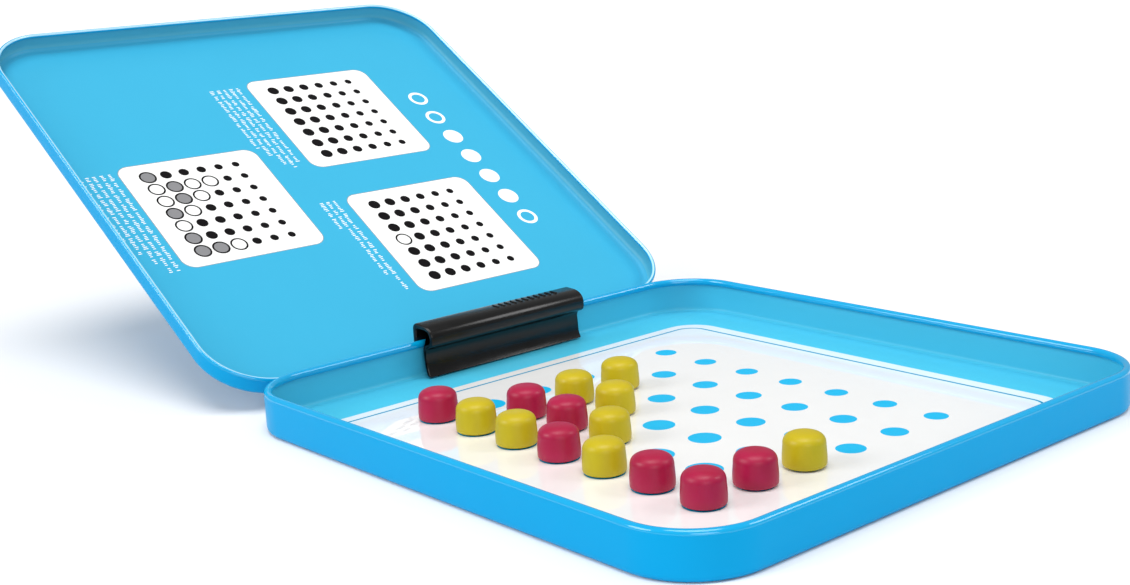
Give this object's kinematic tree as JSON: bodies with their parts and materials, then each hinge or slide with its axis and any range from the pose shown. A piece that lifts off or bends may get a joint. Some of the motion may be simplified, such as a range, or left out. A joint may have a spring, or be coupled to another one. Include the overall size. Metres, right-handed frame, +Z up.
{
  "type": "travel four in a row game",
  "caption": "Hinged square tin with a printed four in a row board in its tray, magnetic pegs standing on the board, an angled lid and a slide-on rim clip.",
  "frame": {"origin": "centre of the tray's flat underside, on the table", "axes": "+X from the hinge to the tray's free edge, along the board's rows; +Y along the hinge, up the board's columns; +Z up"},
  "size_m": [0.2952, 0.157, 0.0916],
  "materials": {
    "tin_paint": "semi-gloss lithographed tinplate",
    "hinge_steel": "bare plated steel",
    "clip_plastic": "satin black moulded plastic",
    "peg_red": "satin moulded plastic",
    "peg_yellow": "satin moulded plastic",
    "magnet": "sintered ferrite"
  },
  "bodies": {
    "tray": {"tray_pan": "tin_paint", "tray_hinge_leaf_front": "hinge_steel", "tray_hinge_leaf_back": "hinge_steel", "hinge_pin_front": "hinge_steel", "hinge_pin_back": "hinge_steel"},
    "lid": {"lid_pan": "tin_paint", "lid_hinge_leaf_front": "hinge_steel", "lid_hinge_leaf_back": "hinge_steel"},
    "clip": {"rim_clip": "clip_plastic"},
    "peg_red_1": {"peg_red_1": "peg_red", "magnet_red_1": "magnet"},
    "peg_red_2": {"peg_red_2": "peg_red", "magnet_red_2": "magnet"},
    "peg_red_3": {"peg_red_3": "peg_red", "magnet_red_3": "magnet"},
    "peg_red_4": {"peg_red_4": "peg_red", "magnet_red_4": "magnet"},
    "peg_red_5": {"peg_red_5": "peg_red", "magnet_red_5": "magnet"},
    "peg_red_6": {"peg_red_6": "peg_red", "magnet_red_6": "magnet"},
    "peg_red_7": {"peg_red_7": "peg_red", "magnet_red_7": "magnet"},
    "peg_yellow_1": {"peg_yellow_1": "peg_yellow", "magnet_yellow_1": "magnet"},
    "peg_yellow_2": {"peg_yellow_2": "peg_yellow", "magnet_yellow_2": "magnet"},
    "peg_yellow_3": {"peg_yellow_3": "peg_yellow", "magnet_yellow_3": "magnet"},
    "peg_yellow_4": {"peg_yellow_4": "peg_yellow", "magnet_yellow_4": "magnet"},
    "peg_yellow_5": {"peg_yellow_5": "peg_yellow", "magnet_yellow_5": "magnet"},
    "peg_yellow_6": {"peg_yellow_6": "peg_yellow", "magnet_yellow_6": "magnet"},
    "peg_yellow_7": {"peg_yellow_7": "peg_yellow", "magnet_yellow_7": "magnet"},
    "peg_yellow_8": {"peg_yellow_8": "peg_yellow", "magnet_yellow_8": "magnet"}
  },
  "joints": [
    {"name": "lid_hinge", "type": "hinge", "parent": "tray", "child": "lid", "pos_m": [-0.0797, 0, 0.0088], "axis": [0, -1, 0], "range_deg": [-147.6, 32.4]},
    {"name": "clip_lift", "type": "slide", "parent": "tray", "child": "clip", "axis": [0, 0, 1], "range_m": [0, 0.03]},
    {"name": "peg_red_1_lift", "type": "slide", "parent": "tray", "child": "peg_red_1", "axis": [0, 0, 1], "range_m": [0, 0.03]},
    {"name": "peg_red_2_lift", "type": "slide", "parent": "tray", "child": "peg_red_2", "axis": [0, 0, 1], "range_m": [0, 0.03]},
    {"name": "peg_red_3_lift", "type": "slide", "parent": "tray", "child": "peg_red_3", "axis": [0, 0, 1], "range_m": [0, 0.03]},
    {"name": "peg_red_4_lift", "type": "slide", "parent": "tray", "child": "peg_red_4", "axis": [0, 0, 1], "range_m": [0, 0.03]},
    {"name": "peg_red_5_lift", "type": "slide", "parent": "tray", "child": "peg_red_5", "axis": [0, 0, 1], "range_m": [0, 0.03]},
    {"name": "peg_red_6_lift", "type": "slide", "parent": "tray", "child": "peg_red_6", "axis": [0, 0, 1], "range_m": [0, 0.03]},
    {"name": "peg_red_7_lift", "type": "slide", "parent": "tray", "child": "peg_red_7", "axis": [0, 0, 1], "range_m": [0, 0.03]},
    {"name": "peg_yellow_1_lift", "type": "slide", "parent": "tray", "child": "peg_yellow_1", "axis": [0, 0, 1], "range_m": [0, 0.03]},
    {"name": "peg_yellow_2_lift", "type": "slide", "parent": "tray", "child": "peg_yellow_2", "axis": [0, 0, 1], "range_m": [0, 0.03]},
    {"name": "peg_yellow_3_lift", "type": "slide", "parent": "tray", "child": "peg_yellow_3", "axis": [0, 0, 1], "range_m": [0, 0.03]},
    {"name": "peg_yellow_4_lift", "type": "slide", "parent": "tray", "child": "peg_yellow_4", "axis": [0, 0, 1], "range_m": [0, 0.03]},
    {"name": "peg_yellow_5_lift", "type": "slide", "parent": "tray", "child": "peg_yellow_5", "axis": [0, 0, 1], "range_m": [0, 0.03]},
    {"name": "peg_yellow_6_lift", "type": "slide", "parent": "tray", "child": "peg_yellow_6", "axis": [0, 0, 1], "range_m": [0, 0.03]},
    {"name": "peg_yellow_7_lift", "type": "slide", "parent": "tray", "child": "peg_yellow_7", "axis": [0, 0, 1], "range_m": [0, 0.03]},
    {"name": "peg_yellow_8_lift", "type": "slide", "parent": "tray", "child": "peg_yellow_8", "axis": [0, 0, 1], "range_m": [0, 0.03]}
  ]
}
